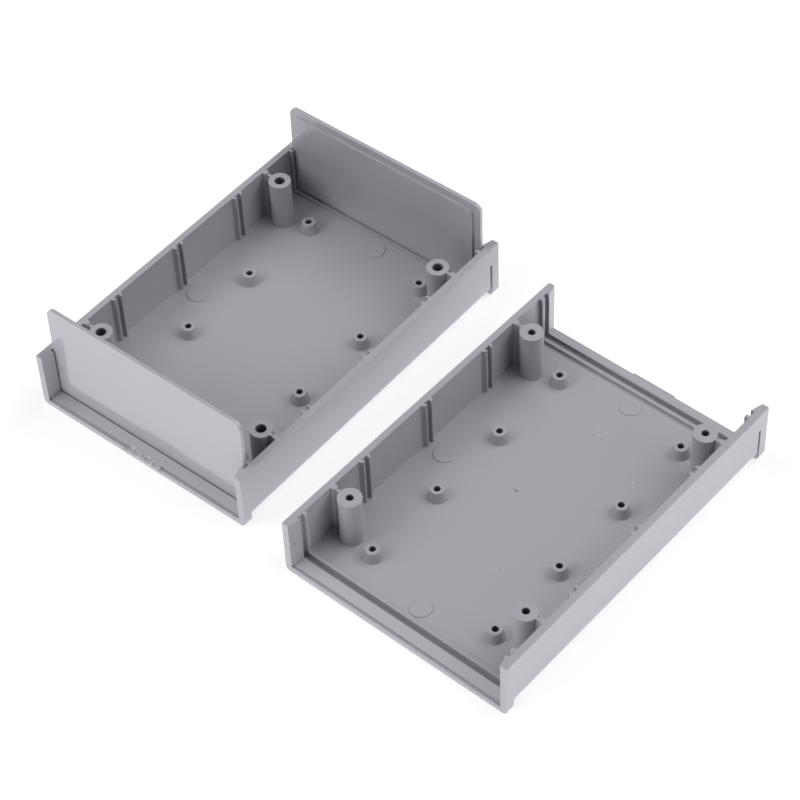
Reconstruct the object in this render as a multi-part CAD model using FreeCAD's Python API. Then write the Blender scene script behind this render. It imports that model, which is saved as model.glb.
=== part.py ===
import FreeCAD, Part
import math
import os

# Plastic project box, opened: the base half with its two end panels standing in their grooves, and the
# cover half lying beside it with its open side up. Millimetres, +Z up.
# Each half is made about its own centre: X across, Y along the box, Z up from the surface it stands on.

# Outside of one half
box_length = 135.0
box_width = 90.8
half_height = 23.2
wall = 2.5
floor = 1.8
underside_radius = 4.3
rim_chamfer = 0.3

# Raised band round each end, which is the foot that the half stands on
band_length = 3.5
foot_height = 1.2
band_radius = 1.9

# Bevelled frame inside each end, thin at the end and thick at the panel's groove
frame_length = 4.8
frame_floor_edge = 2.6
frame_height = 1.4
rebate_width = 1.0
rebate_depth = 0.35

# Panel groove and the rib behind it
panel_thickness = 1.4
groove_clearance = 0.5
rib_thickness = 1.4
rib_height_floor = 1.2

# End panels
panel_side_clearance = 0.4
panel_top_clearance = 0.4
panel_radius = 3.0
field_inset = 3.0
field_radius = 2.0
field_thickness = 0.8
front_panel_gap = 0.13
rear_panel_gap = 0.43
front_panel_lean = 1.0
rear_panel_lean = -0.7

# Card guides: pairs of tapered ribs on the long walls
guide_count = 3
guide_pitch = 31.0
guide_slot = 2.2
guide_height = 1.4
guide_tip = 0.5
guide_foot = 1.4

# Screw posts, each tied to its long wall by a web
post_spread = 71.4
post_length_spread = 92.2
post_drop = 0.5
cover_post_diameter = 8.2
base_post_diameter = 8.0
pilot_diameter = 2.7
pilot_depth = 15.0
screw_hole_diameter = 3.8
screw_head_diameter = 6.2
screw_head_depth = 6.0
web_thickness = 0.9
stub_foot = 2.2
stub_tip = 1.6
stub_depth = 1.6

# Board standoffs
standoff_spread = 50.5
standoff_pitch = 32.1
standoff_rows = 4
standoff_height = 4.0
standoff_diameter = 5.0
standoff_foot_diameter = 6.0
standoff_hole = 2.4
standoff_hole_depth = 4.8

# Slot beside the end band, on two opposite corners of the half
slot_width = 1.1
slot_depth = 1.1
slot_top = 15.2

# Trimmed gate on one end
gate_width = 17.0
gate_stub = 0.25

# Where the cover lies, measured from the base's centre, and its turn in degrees
cover_shift_x = 114.2
cover_shift_y = -5.9
cover_turn = -1.53

# Worked out from the sizes above
half_width = box_width / 2
half_length = box_length / 2
floor_top = foot_height + floor
inner_half_width = half_width - wall
groove_width = panel_thickness + groove_clearance
groove_outer_y = half_length - frame_length
groove_inner_y = groove_outer_y - groove_width
rib_inner_y = groove_inner_y - rib_thickness
frame_half_width = inner_half_width - frame_height
frame_floor_top = floor_top + rib_height_floor
post_top = half_height - post_drop
panel_width = 2 * (inner_half_width - panel_side_clearance)
panel_height = 2 * (half_height - floor_top) - panel_top_clearance

# Reach of a cutting shape into open air, overlap of joined shapes, and the smallest length told apart
above = 5.0
overlap = 1.0
tiny = 1e-6


def vec(x, y, z):
    return FreeCAD.Vector(x, y, z)


def prism(points, direction):
    """Closed flat outline pushed along a direction."""
    return Part.Face(Part.makePolygon(points + [points[0]])).extrude(direction)


def box_about(centre_x, size_x, y_low, y_high, z_low, z_high):
    corner = vec(centre_x - size_x / 2, y_low, z_low)
    return Part.makeBox(size_x, y_high - y_low, z_high - z_low, corner)


def half_turned(shape):
    """The same shape seen from the other end of the half."""
    copy = shape.copy()
    copy.rotate(vec(0, 0, 0), vec(0, 0, 1), 180)
    return copy


def mirrored_across(shape):
    """The same shape on the other long wall."""
    return shape.mirror(vec(0, 0, 0), vec(1, 0, 0))


def outer_section(bottom, radius, y_low, y_high):
    """Outer form of the half between two stations, with rounded long edges below and a chamfered rim."""
    lean = radius * math.sqrt(0.5)
    low_z = bottom + radius
    straight = half_width - radius
    edges = [
        Part.makeLine(vec(-straight, y_low, bottom), vec(straight, y_low, bottom)),
        Part.Arc(
            vec(straight, y_low, bottom),
            vec(straight + lean, y_low, low_z - lean),
            vec(half_width, y_low, low_z),
        ).toShape(),
        Part.makeLine(vec(half_width, y_low, low_z), vec(half_width, y_low, half_height - rim_chamfer)),
        Part.makeLine(
            vec(half_width, y_low, half_height - rim_chamfer),
            vec(half_width - rim_chamfer, y_low, half_height),
        ),
        Part.makeLine(
            vec(half_width - rim_chamfer, y_low, half_height),
            vec(rim_chamfer - half_width, y_low, half_height),
        ),
        Part.makeLine(
            vec(rim_chamfer - half_width, y_low, half_height),
            vec(-half_width, y_low, half_height - rim_chamfer),
        ),
        Part.makeLine(vec(-half_width, y_low, half_height - rim_chamfer), vec(-half_width, y_low, low_z)),
        Part.Arc(
            vec(-half_width, y_low, low_z),
            vec(-straight - lean, y_low, low_z - lean),
            vec(-straight, y_low, bottom),
        ).toShape(),
    ]
    return Part.Face(Part.Wire(edges)).extrude(vec(0, y_high - y_low, 0))


def frame_opening():
    """Opening of the bevelled frame at the far end, which narrows towards the groove."""
    end_y = half_length + above
    end_half_x = inner_half_width + frame_height * above / frame_length
    end_low = frame_floor_edge - (frame_floor_top - frame_floor_edge) * above / frame_length
    top = half_height + above
    seen_from_above = prism(
        [
            vec(-frame_half_width, groove_outer_y, 0),
            vec(frame_half_width, groove_outer_y, 0),
            vec(end_half_x, end_y, 0),
            vec(-end_half_x, end_y, 0),
        ],
        vec(0, 0, top),
    )
    seen_from_side = prism(
        [
            vec(-box_width, groove_outer_y, frame_floor_top),
            vec(-box_width, end_y, end_low),
            vec(-box_width, end_y, top),
            vec(-box_width, groove_outer_y, top),
        ],
        vec(2 * box_width, 0, 0),
    )
    return seen_from_above.common(seen_from_side)


def frame_rebate():
    """Shallow step along the frame's floor edge."""
    low = frame_floor_edge - rebate_depth
    y_low = half_length - rebate_width
    return box_about(0, 2 * inner_half_width, y_low, half_length + above, low, floor_top)


def card_guide(y_centre):
    """Pair of ribs on the wall at +X, square towards the slot and sloped behind."""
    ribs = []
    for side in (-1, 1):
        near = side * guide_slot / 2
        points = [
            vec(inner_half_width + wall / 2, y_centre + near, floor_top - floor / 2),
            vec(inner_half_width - guide_height, y_centre + near, floor_top - floor / 2),
            vec(inner_half_width - guide_height, y_centre + near + side * guide_tip, floor_top - floor / 2),
            vec(inner_half_width, y_centre + near + side * guide_foot, floor_top - floor / 2),
            vec(inner_half_width + wall / 2, y_centre + near + side * guide_foot, floor_top - floor / 2),
        ]
        ribs.append(prism(points, vec(0, 0, half_height - floor_top + floor / 2)))
    return ribs


def post_web(x, y):
    """Thin web from a post to the long wall at +X, with the thicker stub where it meets the wall."""
    low = floor_top - floor / 2
    corner = vec(x, y - web_thickness / 2, low)
    thin = Part.makeBox(inner_half_width - x, web_thickness, post_top - low, corner)
    points = [
        vec(inner_half_width + wall / 2, y - stub_foot / 2, low),
        vec(inner_half_width, y - stub_foot / 2, low),
        vec(inner_half_width - stub_depth, y - stub_tip / 2, low),
        vec(inner_half_width - stub_depth, y + stub_tip / 2, low),
        vec(inner_half_width, y + stub_foot / 2, low),
        vec(inner_half_width + wall / 2, y + stub_foot / 2, low),
    ]
    return [thin, prism(points, vec(0, 0, half_height - low))]


def wall_slot():
    """Slot in the outside of the long wall at +X, beside the band at the far end."""
    high_y = half_length - band_length
    low_y = high_y - slot_width
    corner = vec(half_width - slot_depth, low_y, -above)
    return Part.makeBox(slot_depth + above, slot_width, slot_top + above, corner)


def post_places():
    return [
        (x_side * post_spread / 2, y_side * post_length_spread / 2)
        for x_side in (-1, 1)
        for y_side in (-1, 1)
    ]


def standoff_places():
    first = -standoff_pitch * (standoff_rows - 1) / 2
    return [
        (x_side * standoff_spread / 2, first + row * standoff_pitch)
        for x_side in (-1, 1)
        for row in range(standoff_rows)
    ]


def half_shell(post_diameter, post_holes, gate_side):
    """One moulded half. post_holes(x, y) gives the cuts of a post, gate_side is the end with the gate."""
    band = outer_section(0, band_radius, half_length - band_length, half_length)
    body = outer_section(foot_height, underside_radius, -half_length, half_length)
    body = body.fuse([band, half_turned(band)])

    top = half_height + above
    window_low_y = rib_inner_y - overlap
    window_high_y = groove_inner_y + overlap
    window = box_about(0, 2 * frame_half_width, window_low_y, window_high_y, frame_floor_top, top)
    groove = box_about(0, 2 * inner_half_width, groove_inner_y, groove_outer_y, floor_top, top)
    far_cuts = [window, groove, frame_opening(), frame_rebate()]
    hollow = box_about(0, 2 * inner_half_width, -rib_inner_y, rib_inner_y, floor_top, top)
    body = body.cut([hollow] + far_cuts + [half_turned(cut) for cut in far_cuts])

    low = floor_top - floor / 2
    added = [Part.makeCylinder(post_diameter / 2, post_top - low, vec(x, y, low)) for x, y in post_places()]
    added += [
        Part.makeCone(
            standoff_foot_diameter / 2,
            standoff_diameter / 2,
            floor_top + standoff_height - low,
            vec(x, y, low),
        )
        for x, y in standoff_places()
    ]
    wall_parts = []
    for y_side in (-1, 1):
        wall_parts += post_web(post_spread / 2, y_side * post_length_spread / 2)
    for index in range(guide_count):
        wall_parts += card_guide((index - (guide_count - 1) / 2) * guide_pitch)
    added += wall_parts + [mirrored_across(part) for part in wall_parts]
    gate_low = frame_floor_edge - rebate_depth - overlap
    gate_y = half_length - rebate_width
    gate = box_about(0, gate_width, gate_y, half_length + gate_stub, gate_low, frame_floor_edge)
    added.append(gate if gate_side > 0 else half_turned(gate))
    body = body.fuse(added)

    holes = [wall_slot(), half_turned(wall_slot())]
    for x, y in post_places():
        holes += post_holes(x, y)
    for x, y in standoff_places():
        bottom = floor_top + standoff_height - standoff_hole_depth
        holes.append(Part.makeCylinder(standoff_hole / 2, standoff_hole_depth + overlap, vec(x, y, bottom)))
    return body.cut(holes).removeSplitter().Solids[0]


def pilot_hole(x, y):
    """Blind hole that a screw cuts its thread in."""
    return [Part.makeCylinder(pilot_diameter / 2, pilot_depth + overlap, vec(x, y, post_top - pilot_depth))]


def screw_hole(x, y):
    """Through hole for a screw, with a recess for its head below."""
    return [
        Part.makeCylinder(screw_hole_diameter / 2, half_height + 2 * overlap, vec(x, y, -overlap)),
        Part.makeCylinder(
            screw_head_diameter / 2,
            screw_head_depth + overlap,
            vec(x, y, foot_height - overlap),
        ),
    ]


def rounded_plate(width, height, radius, low_z, y_low, thickness):
    """Upright plate with rounded corners."""
    plate = box_about(0, width, y_low, y_low + thickness, low_z, low_z + height)
    corners = [edge for edge in plate.Edges if abs(edge.tangentAt(edge.FirstParameter).y) > 1 - tiny]
    return plate.makeFillet(radius, corners)


def end_panel(gap, lean):
    """Panel at the far end of the base: a thin flange in the groove, and a thicker field inside it.

    gap is left in front of its lower edge, and lean tips its top inwards about that edge, in degrees."""
    flange_y = groove_outer_y - gap - panel_thickness
    flange = rounded_plate(panel_width, panel_height, panel_radius, floor_top, flange_y, panel_thickness)
    field_y = flange_y - field_thickness
    field = rounded_plate(
        panel_width - 2 * field_inset,
        panel_height - 2 * field_inset,
        field_radius,
        floor_top + field_inset,
        field_y,
        field_thickness + panel_thickness / 2,
    )
    panel = flange.fuse(field).removeSplitter().Solids[0]
    panel.rotate(vec(0, flange_y, floor_top), vec(1, 0, 0), lean)
    panel.translate(vec(0, 0, floor_top - panel.optimalBoundingBox(False).ZMin))
    return panel


base = half_shell(base_post_diameter, screw_hole, -1)
cover = half_shell(cover_post_diameter, pilot_hole, 1)
cover.rotate(vec(0, 0, 0), vec(0, 0, 1), cover_turn)
cover.translate(vec(cover_shift_x, cover_shift_y, 0))
rear_panel = end_panel(rear_panel_gap, rear_panel_lean)
front_panel = half_turned(end_panel(front_panel_gap, front_panel_lean))

pieces = {
    "base_shell": base,
    "cover_shell": cover,
    "front_panel": front_panel,
    "rear_panel": rear_panel,
}

# The origin is the middle of the bottom of the box that holds all pieces
bounds = Part.makeCompound(list(pieces.values())).optimalBoundingBox(False)
shift = vec(-bounds.Center.x, -bounds.Center.y, -bounds.ZMin)
os.makedirs("parts", exist_ok=True)
for name, shape in pieces.items():
    shape.translate(shift)
    shape.exportStep("parts/" + name + ".step")
    print(name, shape.isValid(), len(shape.Solids), round(shape.Volume, 1), shape.BoundBox)
print("shift", shift)
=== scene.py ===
import math

import bmesh
import bpy
import numpy as np
from mathutils import Matrix, Vector


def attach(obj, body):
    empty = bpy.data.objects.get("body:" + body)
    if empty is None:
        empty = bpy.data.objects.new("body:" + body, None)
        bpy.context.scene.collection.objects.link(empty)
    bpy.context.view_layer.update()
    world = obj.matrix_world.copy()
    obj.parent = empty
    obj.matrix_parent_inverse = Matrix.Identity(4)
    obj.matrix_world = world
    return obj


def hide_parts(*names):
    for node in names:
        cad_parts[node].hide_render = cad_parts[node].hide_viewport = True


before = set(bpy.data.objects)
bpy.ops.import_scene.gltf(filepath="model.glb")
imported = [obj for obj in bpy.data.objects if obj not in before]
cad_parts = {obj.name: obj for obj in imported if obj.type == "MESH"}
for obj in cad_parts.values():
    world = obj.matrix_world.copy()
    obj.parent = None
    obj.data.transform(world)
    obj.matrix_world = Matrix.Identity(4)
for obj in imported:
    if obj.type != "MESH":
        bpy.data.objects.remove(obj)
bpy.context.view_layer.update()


class Wire:
    # One shader socket. Each operator adds the Math node of that name and gives its result.
    def __init__(self, shader, socket):
        self.shader = shader
        self.socket = socket

    def __add__(self, other):
        return self.shader.math("ADD", self, other)

    def __radd__(self, other):
        return self.shader.math("ADD", other, self)

    def __sub__(self, other):
        return self.shader.math("SUBTRACT", self, other)

    def __rsub__(self, other):
        return self.shader.math("SUBTRACT", other, self)

    def __mul__(self, other):
        return self.shader.math("MULTIPLY", self, other)

    def __rmul__(self, other):
        return self.shader.math("MULTIPLY", other, self)


class Shader:
    # A material and its node tree. node() adds any node: its settings first, then its inputs by name or
    # number. The methods below it are short forms of it.
    def __init__(self, name):
        self.material = bpy.data.materials.new(name)
        self.material.use_nodes = True
        self.tree = self.material.node_tree
        self.tree.nodes.clear()

    def node(self, kind, settings=None, inputs=None, output=0):
        added = self.tree.nodes.new(kind)
        for key, value in (settings or {}).items():
            setattr(added, key, value)
        for key, value in (inputs or {}).items():
            if isinstance(value, Wire):
                self.tree.links.new(value.socket, added.inputs[key])
            else:
                added.inputs[key].default_value = value
        return Wire(self, added.outputs[output])

    def math(self, operation, *values):
        return self.node("ShaderNodeMath", {"operation": operation}, dict(enumerate(values)))

    def colour(self, low, high, share):
        # low colour where share is 0, high colour where it is 1
        settings = {"data_type": "RGBA", "clamp_factor": True}
        return self.node("ShaderNodeMix", settings, {0: share, 6: low, 7: high}, 2)

    def step(self, value, low, high):
        # smooth rise from 0 at low to 1 at high
        settings = {"interpolation_type": "SMOOTHSTEP"}
        return self.node("ShaderNodeMapRange", settings, {0: value, 1: low, 2: high, 3: 0.0, 4: 1.0})

    def parts(self, vector):
        # the three numbers of a vector
        first = self.node("ShaderNodeSeparateXYZ", None, {0: vector})
        return [Wire(self, socket) for socket in first.socket.node.outputs]

    def distance(self, point, spot):
        return self.node("ShaderNodeVectorMath", {"operation": "DISTANCE"}, {0: point, 1: spot}, 1)

    def noise(self, point, scale, detail, distortion=0.0):
        inputs = {"Vector": point, "Scale": scale, "Detail": detail, "Distortion": distortion}
        return self.node("ShaderNodeTexNoise", None, inputs)

    def halfPoint(self, point, middle, turn=0):
        # the point in mm from the middle of a half, along its own width and length
        inputs = {
            "Vector": point,
            "Location": (middle[0] / 1000, middle[1] / 1000, 0),
            "Rotation": (0, 0, math.radians(turn)),
            "Scale": (0.001, 0.001, 0.001),
        }
        return self.node("ShaderNodeMapping", {"vector_type": "TEXTURE"}, inputs)

    def finish(self, surface):
        out = self.tree.nodes.new("ShaderNodeOutputMaterial")
        self.tree.links.new(surface.socket, out.inputs[0])
        return self.material

    def finishPlastic(self, tone, roughness, height):
        # a plastic surface of that tone and roughness, with its relief's height in metres
        bump = self.node("ShaderNodeBump", None, {"Strength": 1.0, "Distance": 1.0, "Height": height})
        inputs = {"Base Color": tone, "Roughness": roughness, "Normal": bump, "IOR": plastic["ior"]}
        return self.finish(self.node("ShaderNodeBsdfPrincipled", None, inputs))


def newObject(name, data):
    # an object of that name in the scene, at the origin
    added = bpy.data.objects.new(name, data)
    bpy.context.scene.collection.objects.link(added)
    return added


print("stage: materials")

halves = {
    "baseMiddle": (-57.993, 3.544),  # middle of the base seen from above, mm
    "coverMiddle": (56.207, -2.356),
    "coverTurn": -1.53,  # degrees
}


def onBase(x, y, z):
    # point of the base, mm from its middle, as metres in the row frame
    return ((halves["baseMiddle"][0] + x) / 1000, (halves["baseMiddle"][1] + y) / 1000, z / 1000)


def onCover(x, y, z):
    # the same on the cover, turned about its middle
    turn = math.radians(halves["coverTurn"])
    acrossX = x * math.cos(turn) - y * math.sin(turn)
    alongY = x * math.sin(turn) + y * math.cos(turn)
    middleX, middleY = halves["coverMiddle"]
    return ((middleX + acrossX) / 1000, (middleY + alongY) / 1000, z / 1000)


plastic = {
    "shellColour": (0.380, 0.374, 0.408, 1),
    "panelColour": (0.403, 0.392, 0.436, 1),
    "toneShare": 0.03,  # how much the colour wanders over a few centimetres
    "flowScale": 22,  # waves of that tone per metre
    "flowDetail": 3.0,
    "grainScale": 2600,
    "grainDetail": 2.0,
    "grainHeight": 0.000006,
    "rubScale": 240.0,  # waves of the roughness per metre
    "rubDetail": 4.0,
    "shellRoughness": 0.30,
    "panelRoughness": 0.07,
    "roughnessShare": 0.06,
    "ior": 1.5,
    # colour that the painted shade in the screw holes and panel grooves turns towards
    "paintedShadeColour": (0.012, 0.012, 0.014, 1),
    "pitShade": 0.30,  # share of the colour left in the screw holes, where shade is painted
    "pitRim": (0.05, 0.15),  # mm outside a hole's radius between which its painted shade ends
    "pitFade": (1.0, 0.1),  # and mm below its top
    "grooveShade": 0.45,  # share of the colour left at the bottom of the panel grooves, where shade is painted
    "grooveFrom": 60.75,  # mm from the middle of the half
    "grooveTo": 62.9,
    "grooveTop": 4.0,
    "grooveRim": 0.08,  # mm over which the groove's painted shade ends at its sides
    "grooveFade": 0.5,  # and below its top
    "markCore": 0.3,  # share of a mark's radius that has its full colour
}

# screw holes of a quarter of a half, painted with shade: place, radius and top in mm
standoffPits = ((25.25, 16.05, 1.2, 7.0), (25.25, 48.15, 1.2, 7.0))
basePits = standoffPits + ((35.7, 46.1, 1.9, 22.7),)
coverPits = standoffPits + ((35.7, 46.1, 1.35, 22.7),)

# small marks of handling and moulding: place on the half in mm, radius in mm, colour
coverMarks = (
    ((-6.6, 1.9, 3.0), 0.5, (0.05, 0.05, 0.06, 1)),
    ((-7.3, 2.0, 3.0), 0.55, (0.14, 0.14, 0.16, 1)),
    ((-8.0, 2.2, 3.0), 0.4, (0.22, 0.22, 0.24, 1)),
    ((20.5, 28.6, 3.0), 0.38, (0.72, 0.72, 0.74, 1)),
    ((9.6, -26.7, 3.0), 0.8, (0.31, 0.31, 0.34, 1)),
    ((8.7, -27.6, 3.0), 0.5, (0.44, 0.44, 0.47, 1)),
    ((-0.6, 38.1, 3.0), 0.9, (0.43, 0.43, 0.46, 1)),
    ((0.9, 37.2, 3.0), 0.6, (0.31, 0.31, 0.34, 1)),
    ((-2.2, 39.5, 3.0), 0.6, (0.44, 0.44, 0.47, 1)),
    ((-42.4, -65.8, 13.0), 0.45, (0.10, 0.10, 0.11, 1)),
)


def mouldedPlastic(name, colour, roughness, middle, turn, pits, marks):
    # Tone is the colour times a slow noise, with painted shade in the screw holes and at the bottom of the
    # panel grooves, then the marks. Roughness follows a finer noise and the height is the grain.
    # Known fault: both painted shades have an upper height but no lower one, so they also lie on the flat
    # underside below the holes and grooves, and on the panels' lowest edge.
    s = Shader(name)
    point = s.node("ShaderNodeTexCoord", output=3)
    flow = s.noise(point, plastic["flowScale"], plastic["flowDetail"])
    grain = s.noise(point, plastic["grainScale"], plastic["grainDetail"])
    rub = s.noise(point, plastic["rubScale"], plastic["rubDetail"])
    dark = tuple(c * (1 - plastic["toneShare"]) for c in colour[:3]) + (1,)
    light = tuple(c * (1 + plastic["toneShare"]) for c in colour[:3]) + (1,)
    tone = s.colour(dark, light, flow)
    local = s.halfPoint(point, middle, turn)
    folded = s.node("ShaderNodeVectorMath", {"operation": "ABSOLUTE"}, {0: local})  # four quarters onto one
    x, y, z = s.parts(folded)
    rimFrom, rimTo = plastic["pitRim"]
    fadeFrom, fadeTo = plastic["pitFade"]
    # painted shade in each screw hole, fading out towards its top
    for pitX, pitY, radius, top in pits:
        acrossX, alongY = x - pitX, y - pitY
        away = s.math("SQRT", acrossX * acrossX + alongY * alongY)
        within = 1 - s.step(away, radius + rimFrom, radius + rimTo)
        inside = within * (1 - s.step(z, top - fadeFrom, top - fadeTo))
        tone = s.colour(tone, plastic["paintedShadeColour"], inside * (1 - plastic["pitShade"]))
    # painted shade at the bottom of the panel grooves, fading out towards grooveTop
    middleY = (plastic["grooveFrom"] + plastic["grooveTo"]) / 2
    halfWidth = (plastic["grooveTo"] - plastic["grooveFrom"]) / 2
    away = s.math("ABSOLUTE", y - middleY)
    within = 1 - s.step(away, halfWidth - plastic["grooveRim"], halfWidth)
    inside = within * (1 - s.step(z, plastic["grooveTop"] - plastic["grooveFade"], plastic["grooveTop"]))
    tone = s.colour(tone, plastic["paintedShadeColour"], inside * (1 - plastic["grooveShade"]))
    for spot, radius, shade in marks:
        away = s.distance(local, spot)
        tone = s.colour(tone, shade, 1 - s.step(away, radius * plastic["markCore"], radius))
    rough = roughness + rub * plastic["roughnessShare"]
    return s.finishPlastic(tone, rough, grain * plastic["grainHeight"])


print("stage: pieces")

# what differs from the part's own mesh, in mm on the half: board standoffs are cones, grooves a little wider
fineShape = {
    "standoffX": 25.25,
    "standoffY": (16.05, 48.15),
    "reach": 3.3,  # vertices nearer than this to an axis belong to a standoff
    "hole": 1.5,  # and those nearer than this to its hole
    "footHeight": 3.0,
    "topHeight": 7.0,
    "heightSpare": 0.01,  # share of the height by which a vertex may miss foot or top
    "footRadius": 3.4,
    "topRadius": 2.4,
    "grooveY": 62.7,
    "grooveSpare": 0.2,
    "ribY": 60.8,
    "ribSpare": 0.15,
    "frameX": 41.5,
    "frameSlope": 1 / 3,  # of the frame's floor
    "frameFlare": 1.4 / 4.8,  # and of its sides
    "frameTop": 4.2,
    "wallTouch": 0.03,  # a vertex nearer than this to a wall or floor lies on it
    "sideTouch": 0.05,  # and to a side of the frame
    "axisTouch": 0.001,
}

moulding = {
    "mergeDistance": 0.000002,
    "flatAngle": math.radians(0.5),
    "edgeAngle": math.radians(28),
    "edgeWidth": 0.00016,
    "edgeSteps": 2,
}


def shapeHalf(mesh, middle, turn):
    # In the half's own millimetres: a vertex of a standoff's side keeps its direction from the axis, and
    # its distance becomes the radius of a cone between footRadius and topRadius at its height. A vertex of
    # a groove's outer wall moves out by grooveSpare, along the frame's slopes where it lies on them, and
    # one of its inner wall moves in by ribSpare.
    shape = fineShape
    points = np.empty(len(mesh.vertices) * 3)
    mesh.vertices.foreach_get("co", points)
    points = points.reshape(-1, 3) * 1000
    angle = math.radians(turn)
    turned = np.array([[math.cos(angle), -math.sin(angle)], [math.sin(angle), math.cos(angle)]])
    local = (points[:, :2] - middle) @ turned
    side = np.sign(local)
    x, y = np.abs(local).T
    z = points[:, 2]
    share = (z - shape["footHeight"]) / (shape["topHeight"] - shape["footHeight"])
    atHeight = (share > -shape["heightSpare"]) & (share < 1 + shape["heightSpare"])
    radius = shape["footRadius"] + (shape["topRadius"] - shape["footRadius"]) * share
    for row in shape["standoffY"]:
        awayX, awayY = x - shape["standoffX"], y - row
        distance = np.hypot(awayX, awayY)
        onSide = (distance < shape["reach"]) & (distance > shape["hole"]) & atHeight
        factor = np.where(onSide, radius / np.maximum(distance, shape["axisTouch"]), 1)
        x, y = shape["standoffX"] + awayX * factor, row + awayY * factor
    onGroove = np.abs(y - shape["grooveY"]) < shape["wallTouch"]
    onRib = np.abs(y - shape["ribY"]) < shape["wallTouch"]
    onFrameSide = onGroove & (np.abs(x - shape["frameX"]) < shape["sideTouch"])
    onFrameFloor = onGroove & (np.abs(z - shape["frameTop"]) < shape["wallTouch"])
    x = x + shape["grooveSpare"] * shape["frameFlare"] * onFrameSide
    z = z - shape["grooveSpare"] * shape["frameSlope"] * onFrameFloor
    y = y + shape["grooveSpare"] * onGroove - shape["ribSpare"] * onRib
    points[:, :2] = (np.stack([x, y], -1) * side) @ turned.T + middle
    points[:, 2] = z
    mesh.vertices.foreach_set("co", points.ravel() / 1000)
    mesh.update()


def mouldedCopy(nodeName, body, material, middle=None, turn=0):
    # the node's mesh with its doubles merged and its flat parts joined, then a small round on every edge
    work = bmesh.new()
    work.from_mesh(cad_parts[nodeName].data)
    bmesh.ops.remove_doubles(work, verts=work.verts, dist=moulding["mergeDistance"])
    flat = {"angle_limit": moulding["flatAngle"], "use_dissolve_boundaries": False}
    bmesh.ops.dissolve_limit(work, verts=work.verts, edges=work.edges, **flat)
    mesh = bpy.data.meshes.new(nodeName + "_moulding")
    work.to_mesh(mesh)
    work.free()
    mesh.materials.clear()
    mesh.materials.append(material)
    if middle:
        shapeHalf(mesh, middle, turn)
    piece = newObject(nodeName + "_moulding", mesh)
    edges = piece.modifiers.new("edges", "BEVEL")
    edges.width = moulding["edgeWidth"]
    edges.segments = moulding["edgeSteps"]
    edges.limit_method = "ANGLE"
    edges.angle_limit = moulding["edgeAngle"]
    edges.use_clamp_overlap = True
    edges.miter_outer = "MITER_ARC"
    edges.harden_normals = True
    mesh.shade_smooth()
    smooth = piece.modifiers.new("normals", "WEIGHTED_NORMAL")
    smooth.keep_sharp = True
    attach(piece, body)
    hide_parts(nodeName)


def shellPlastic(name, middle, turn, pits, marks):
    return mouldedPlastic(name, plastic["shellColour"], plastic["shellRoughness"], middle, turn, pits, marks)


def panelPlastic(name):
    # the panels carry the same painted shade as the grooves' bottom, on their lower edge up to grooveTop
    colour, roughness = plastic["panelColour"], plastic["panelRoughness"]
    return mouldedPlastic(name, colour, roughness, halves["baseMiddle"], 0, (), ())


baseMiddle, coverMiddle, coverTurn = halves["baseMiddle"], halves["coverMiddle"], halves["coverTurn"]
basePlastic = shellPlastic("base_plastic", baseMiddle, 0, basePits, ())
coverPlastic = shellPlastic("cover_plastic", coverMiddle, coverTurn, coverPits, coverMarks)
mouldedCopy("base_shell", "base", basePlastic, baseMiddle)
mouldedCopy("cover_shell", "base", coverPlastic, coverMiddle, coverTurn)
mouldedCopy("front_panel", "front_panel", panelPlastic("front_panel_plastic"))
mouldedCopy("rear_panel", "rear_panel", panelPlastic("rear_panel_plastic"))

pads = {
    "corners": 72,
    # (radius, height) in mm from the hidden foot to the flat top, with a small round at the edge
    "profile": ((3.86, 2.85), (3.86, 3.22), (3.83, 3.27), (3.76, 3.30), (3.6, 3.31)),
    "base": ((-35.8, 0.1), (36, 0), (0, 54.2), (0, -54.2)),
    "cover": ((-35.2, -0.6), (36, 0), (0, 54.2), (0, -54.2)),
}


def ejectorPads(name, places, onHalf, material):
    # round discs that stand a little proud of the floor: the profile carried round a circle, closed by a
    # flat face above and below
    corners, profile = pads["corners"], np.array(pads["profile"])
    angle = np.arange(corners) * 2 * math.pi / corners
    radius, turned = np.meshgrid(profile[:, 0], angle, indexing="ij")
    height = np.repeat(profile[:, 1:], corners, axis=1)
    ring = np.stack([radius * np.cos(turned), radius * np.sin(turned), height], -1).reshape(-1, 3) / 1000
    rows = len(profile)
    i, j = np.meshgrid(np.arange(rows - 1), np.arange(corners), indexing="ij")
    low, high = i * corners, (i + 1) * corners
    nextJ = (j + 1) % corners
    quads = np.stack([low + j, low + nextJ, high + nextJ, high + j], -1)
    top = [list(range((rows - 1) * corners, rows * corners))]
    bottom = [list(range(corners))[::-1]]
    points, faces = [], []
    for number, (x, y) in enumerate(places):
        points += (ring + np.array(onHalf(x, y, 0))).tolist()
        first = number * rows * corners
        faces += (quads.reshape(-1, 4) + first).tolist()
        faces += [[v + first for v in face] for face in top + bottom]
    mesh = bpy.data.meshes.new(name)
    mesh.from_pydata(points, [], faces)
    mesh.materials.append(material)
    mesh.shade_smooth()
    mesh.polygons.foreach_set("use_smooth", [len(face) == 4 for face in faces])
    piece = newObject(name, mesh)
    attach(piece, "base")


ejectorPads("base_ejector_pads", pads["base"], onBase, basePlastic)
ejectorPads("cover_ejector_pads", pads["cover"], onCover, coverPlastic)

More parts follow.
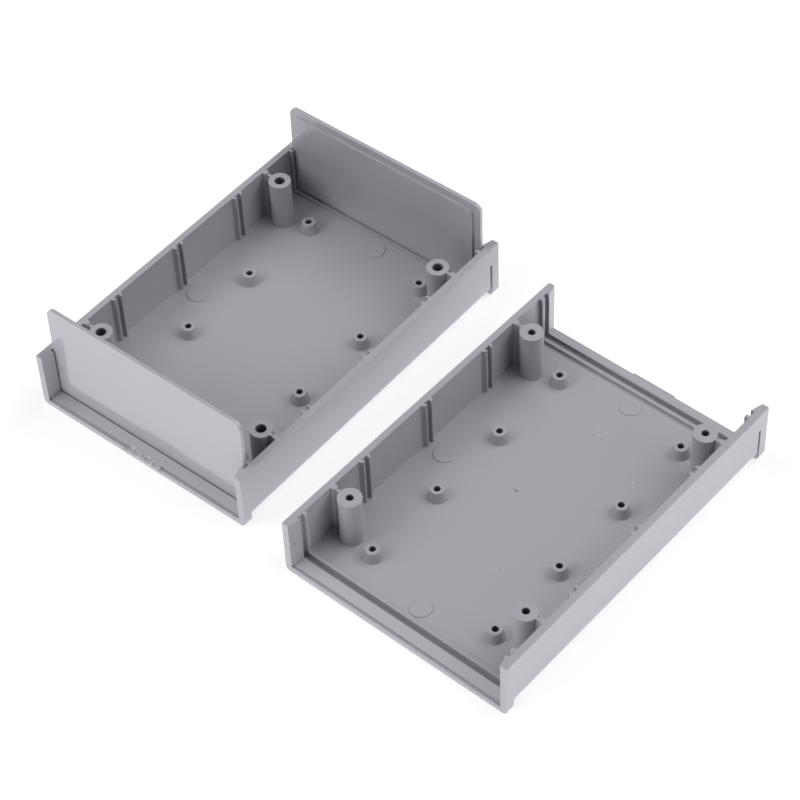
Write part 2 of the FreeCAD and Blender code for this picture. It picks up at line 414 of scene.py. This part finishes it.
# trimmed gate on the base's front rim, in mm on the half, with y counted outwards
gate = {
    "from": -9.3,  # along the rim
    "to": 9.0,
    "columns": 300,
    "topRows": 30,
    "innerY": 66.25,  # upper edge on the frame's slope
    "rimY": 67.5,  # front face of the rim
    "rimZ": 2.6,  # height of the slope there
    "slopeRun": 3,  # length of the slope for each mm that it rises
    "lift": 0.035,  # above the slope
    "leastLift": 0.012,
    "roughHeight": 0.065,
    "sink": 0.10,  # of the upper edge below the slope
    "riseRate": 8,  # the lift is whole after one part in this many of the way to the front
    "roughWaves": ((2.2, 1.5, 1.0), (7.0, 1.0, 0.7)),  # scale, stretch along y, share
    "lipWave": (3.0, 0.06),  # scale, height
    "seed": 7,
    "smear": ((-7.5, 1.0, 0.9), (-3.4, 2.4, 1.1), (1.6, 1.2, 0.5)),  # place, width, reach up the slope
    "lumps": ((-5.2, 1.0, 0.08), (0.4, 0.9, 0.16), (3.1, 0.5, 0.07), (6.0, 1.2, 0.09)),  # and height
    "lumpRow": (67.2, 0.5),  # place and width of the lumps down the slope
    "nicks": ((-8.1, 0.24, 0.40), (-6.9, 0.30, 0.55), (8.3, 0.20, 0.25)),  # place, width, depth
    "nickLean": 0.1,
    # front side from the lip down and back inside the wall: y, z, share of the lip's wave, share of a nick
    "front": (
        (67.68, 2.50, 0.6, 0.5),
        (67.80, 2.34, 1.0, 0.7),
        (67.86, 2.14, 1.0, 0.6),
        (67.84, 1.80, 0.8, 0),
        (67.78, 1.50, 0.3, 0),
        (67.2, 1.42, 0, 0),
        (66.6, 1.6, 0, 0),
        (66.2, 2.3, 0, 0),
    ),
    "endReach": 0.7,  # along x, over which the section shrinks at both ends
    "endSize": 0.1,  # share of the section left there
    "heart": (66.9, 2.05),  # y and z that it shrinks towards
    "waveCount": 14,
    "waveSpread": (0.6, 2.2),  # of the waves' frequencies
    "waveTotal": 5,
}

torn = {
    "colours": ((0.33, 0.325, 0.355, 1), (0.56, 0.55, 0.58, 1)),  # plain, and strained where the cut pulled
    "strained": (0.42, 0.66),  # noise between which the one turns into the other
    "streak": (0.9, 4.0, 1.0),  # scale per mm, detail, distortion
    "streakHeight": 0.00004,
    # colour of the painted shade in the nicks
    "nickShadeColour": (0.08, 0.08, 0.09, 1),
    "nickEdge": (0.6, 1.7),  # nick widths between which its painted shade ends
    # place in mm on the half, core and whole radius, colour
    "specks": (
        ((2.1, -66.15, 3.1), 0.2, 0.6, (0.75, 0.75, 0.77, 1)),
        ((1.5, -67.1, 2.8), 0.1, 0.5, (0.22, 0.22, 0.24, 1)),
    ),
    "roughness": 0.40,
    "roughnessShare": 0.15,
}


def bell(x, place, width):
    # 1 at the place, e to the minus square of the distance counted in widths elsewhere
    return np.exp(-(((x - place) / width) ** 2))


def waves(a, b, scale, seed):
    # sum of sines in random directions, about -1 to 1
    generator = np.random.default_rng(seed)
    total = np.zeros_like(a)
    for step in range(gate["waveCount"]):
        angle = generator.uniform(0, 2 * math.pi)
        frequency = scale * generator.uniform(*gate["waveSpread"])
        phase = generator.uniform(0, 2 * math.pi)
        total += np.sin(frequency * (a * math.cos(angle) + b * math.sin(angle)) + phase)
    return total / gate["waveTotal"]


def gateScar(material):
    # Across the rim, a ring of points runs from an edge on the frame's slope down to the front, over a
    # round lip and back underneath, inside the wall. It is carried along x. The top is the slope's height
    # plus lumps and rough waves less the nicks, and both ends shrink nearly to a point inside.
    columns, rimY, seed = gate["columns"], gate["rimY"], gate["seed"]
    x = np.linspace(gate["from"], gate["to"], columns)[:, None]
    share = np.linspace(0, 1, gate["topRows"])[None, :]
    inner = gate["innerY"] + 0 * x
    for place, width, reach in gate["smear"]:
        inner = inner - reach * bell(x, place, width)
    y = inner + (rimY - inner) * share
    slope = gate["rimZ"] + (rimY - y) / gate["slopeRun"]
    along = x + 0 * y
    rough = 0
    for number, (scale, stretch, part) in enumerate(gate["roughWaves"]):
        rough = rough + part * waves(along, y * stretch, scale, seed + number)
    lift = gate["lift"] + gate["roughHeight"] * rough
    for place, width, height in gate["lumps"]:
        lift = lift + height * bell(x, place, width) * bell(y, *gate["lumpRow"])
    cut = 0 * y
    for place, width, depth in gate["nicks"]:
        cut = cut + depth * bell(x - place - gate["nickLean"] * (rimY - y), 0, width)
    risen = share * gate["riseRate"]
    z = slope + np.maximum(lift, gate["leastLift"]) * np.clip(risen, 0, 1)
    z = z - gate["sink"] * np.clip(1 - risen, 0, 1) - cut
    lipScale, lipHeight = gate["lipWave"]
    lip = lipHeight * waves(x, 0 * x, lipScale, seed + len(gate["roughWaves"]))
    front = np.array(gate["front"])
    frontY = front[:, 0] + lip * front[:, 2] - cut[:, -1:] * front[:, 3]
    frontZ = front[:, 1] + 0 * x
    y, z = np.hstack([y, frontY]), np.hstack([z, frontZ])
    rows = y.shape[1]
    ends = np.clip(np.minimum(x - gate["from"], gate["to"] - x) / gate["endReach"], 0, 1) ** 0.5
    shrink = gate["endSize"] + (1 - gate["endSize"]) * ends
    heartY, heartZ = gate["heart"]
    y, z = heartY + (y - heartY) * shrink, heartZ + (z - heartZ) * shrink
    points = np.stack([x + 0 * y, -y, z], -1).reshape(-1, 3) / 1000 + np.array(onBase(0, 0, 0))
    i, j = np.meshgrid(np.arange(columns - 1), np.arange(rows), indexing="ij")
    here, ahead = i * rows, (i + 1) * rows
    nextJ = (j + 1) % rows
    quads = np.stack([here + j, ahead + j, ahead + nextJ, here + nextJ], -1)
    faces = quads.reshape(-1, 4).tolist()
    faces += [list(range(rows)), list(range((columns - 1) * rows, columns * rows))[::-1]]
    mesh = bpy.data.meshes.new("gate_scar")
    mesh.from_pydata(points.tolist(), [], faces)
    mesh.materials.append(material)
    mesh.shade_smooth()
    fix = bmesh.new()
    fix.from_mesh(mesh)
    bmesh.ops.recalc_face_normals(fix, faces=fix.faces)
    fix.to_mesh(mesh)
    fix.free()
    scar = newObject("gate_scar", mesh)
    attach(scar, "base")


def tornPlastic():
    # the shell's colour with pale strained streaks along the cut, and painted shade in the nicks
    s = Shader("gate_plastic")
    local = s.halfPoint(s.node("ShaderNodeTexCoord", output=3), halves["baseMiddle"])
    streak = s.noise(local, *torn["streak"])
    tone = s.colour(*torn["colours"], s.step(streak, *torn["strained"]))
    x, y = s.parts(local)[:2]
    leaning = x - gate["nickLean"] * (y + gate["rimY"])
    edgeFrom, edgeTo = torn["nickEdge"]
    # painted shade in each nick, which is also cut into the scar's shape
    for nickPlace, width in [nick[:2] for nick in gate["nicks"]]:
        away = s.math("ABSOLUTE", leaning - nickPlace)
        tone = s.colour(tone, torn["nickShadeColour"], 1 - s.step(away, width * edgeFrom, width * edgeTo))
    for spot, core, radius, shade in torn["specks"]:
        tone = s.colour(tone, shade, 1 - s.step(s.distance(local, spot), core, radius))
    rough = torn["roughness"] + streak * torn["roughnessShare"]
    return s.finishPlastic(tone, rough, streak * torn["streakHeight"])


gateScar(tornPlastic())

print("stage: studio")

# lamps: compass angle from the front, height angle, distance, size, power
lamps = {
    "rightBox": (108, 38, 1.3, 0.8, 4.6),
    "backBox": (150, 52, 1.3, 0.9, 6.8),
    "frontBox": (330, 35, 1.3, 0.8, 6.4),
    "leftBox": (294, 56, 1.3, 0.8, 3.9),
    "topBox": (0, 90, 1.3, 0.60, 1.4),
}

table = {
    "halfSize": 6.0,
    "white": (1, 1, 1, 1),
    "glow": 0.73,  # strength of its light for all rays but the camera's
    "glowColour": (1, 0.955, 0.985, 1),
    "shadowShare": 0.55,  # share of the floor's white that takes shadows
    "lift": 1.10,  # strength that the rest of the white starts from
    "liftCost": 0.9,  # and what it loses for each part that takes shadows
    "shadowReach": 0.3,  # metres from the middle, beyond which the floor starts to turn plain white
    "fadeReach": 2,  # and has done so at this many times that
}


def bigFloor():
    # Flat square on the surface that the box stands on. The camera sees a white that keeps part of the
    # shadow, and fades to plain white far out. All other rays meet a softly glowing white table.
    corners = np.array([[-1, -1, 0], [1, -1, 0], [1, 1, 0], [-1, 1, 0]], float) * table["halfSize"]
    mesh = bpy.data.meshes.new("floor")
    mesh.from_pydata(corners.tolist(), [], [[0, 1, 2, 3]])
    floor = newObject("floor", mesh)
    s = Shader("floor_white")
    isCamera = s.node("ShaderNodeLightPath")

    def glowing(colour, strength):
        return s.node("ShaderNodeEmission", None, {"Color": colour, "Strength": strength})

    def matte(colour):
        return s.node("ShaderNodeBsdfDiffuse", None, {"Color": colour})

    def joined(first, second):
        return s.node("ShaderNodeAddShader", None, {0: first, 1: second})

    share = table["shadowShare"]
    lit = joined(matte(table["white"]), glowing(table["glowColour"], table["glow"]))
    rest = glowing(table["white"], table["lift"] - share * table["liftCost"])
    near = joined(matte((share, share, share, 1)), rest)
    point = s.node("ShaderNodeTexCoord", output=3)
    away = s.node("ShaderNodeVectorMath", {"operation": "LENGTH"}, {0: point}, 1)
    fade = s.step(away, table["shadowReach"], table["shadowReach"] * table["fadeReach"])
    white = s.node("ShaderNodeMixShader", None, {0: fade, 1: near, 2: glowing(table["white"], 1.0)})
    mesh.materials.append(s.finish(s.node("ShaderNodeMixShader", None, {0: isCamera, 1: lit, 2: white})))


def whiteWorld():
    # Camera, mirrored and bent rays meet white. All other rays meet black, so the world gives no light to
    # matte surfaces.
    world = bpy.data.worlds.new("studio")
    bpy.context.scene.world = world
    world.use_nodes = True
    tree = world.node_tree
    tree.nodes.clear()
    ray = tree.nodes.new("ShaderNodeLightPath")
    cameraOrGlossy = tree.nodes.new("ShaderNodeMath")
    cameraOrGlossy.operation = "MAXIMUM"
    anyWhiteRay = tree.nodes.new("ShaderNodeMath")
    anyWhiteRay.operation = "MAXIMUM"
    back = tree.nodes.new("ShaderNodeBackground")
    back.inputs[0].default_value = table["white"]
    out = tree.nodes.new("ShaderNodeOutputWorld")
    tree.links.new(ray.outputs["Is Camera Ray"], cameraOrGlossy.inputs[0])
    tree.links.new(ray.outputs["Is Glossy Ray"], cameraOrGlossy.inputs[1])
    tree.links.new(cameraOrGlossy.outputs[0], anyWhiteRay.inputs[0])
    tree.links.new(ray.outputs["Is Transmission Ray"], anyWhiteRay.inputs[1])
    tree.links.new(anyWhiteRay.outputs[0], back.inputs[1])
    tree.links.new(back.outputs[0], out.inputs[0])


def softbox(name, compass, lift, distance, size, power):
    # square lamp on a ball round the object, turned to its middle
    a, e = math.radians(compass), math.radians(lift)
    away = Vector((math.sin(a) * math.cos(e), -math.cos(a) * math.cos(e), math.sin(e)))
    lamp = bpy.data.lights.new(name, "AREA")
    lamp.shape = "SQUARE"
    lamp.size = size
    lamp.energy = power
    box = newObject(name, lamp)
    box.location = away * distance
    box.rotation_euler = away.to_track_quat("Z", "Y").to_euler()


bigFloor()
whiteWorld()
for lampName, place in lamps.items():
    softbox(lampName, *place)

view = {
    "focalLength": 119.151,
    "sensorWidth": 36.0,
    "clipStart": 0.01,
    "place": (0.386804, -0.440479, 0.666454),
    "right": (0.77658823, 0.6290593, -0.03457057),
    "down": (0.45064938, -0.59300786, -0.66727567),
    "forward": (-0.44025659, 0.50261922, -0.7440081),
}

camera = newObject("camera", bpy.data.cameras.new("camera"))
camera.data.lens = view["focalLength"]
camera.data.sensor_width = view["sensorWidth"]
camera.data.clip_start = view["clipStart"]
pose = np.eye(4)
pose[:3, :3] = np.array([view["right"], [-v for v in view["down"]], [-v for v in view["forward"]]]).T
pose[:3, 3] = view["place"]
camera.matrix_world = Matrix(pose.tolist())
bpy.context.scene.camera = camera
bpy.context.scene.view_settings.view_transform = "Standard"
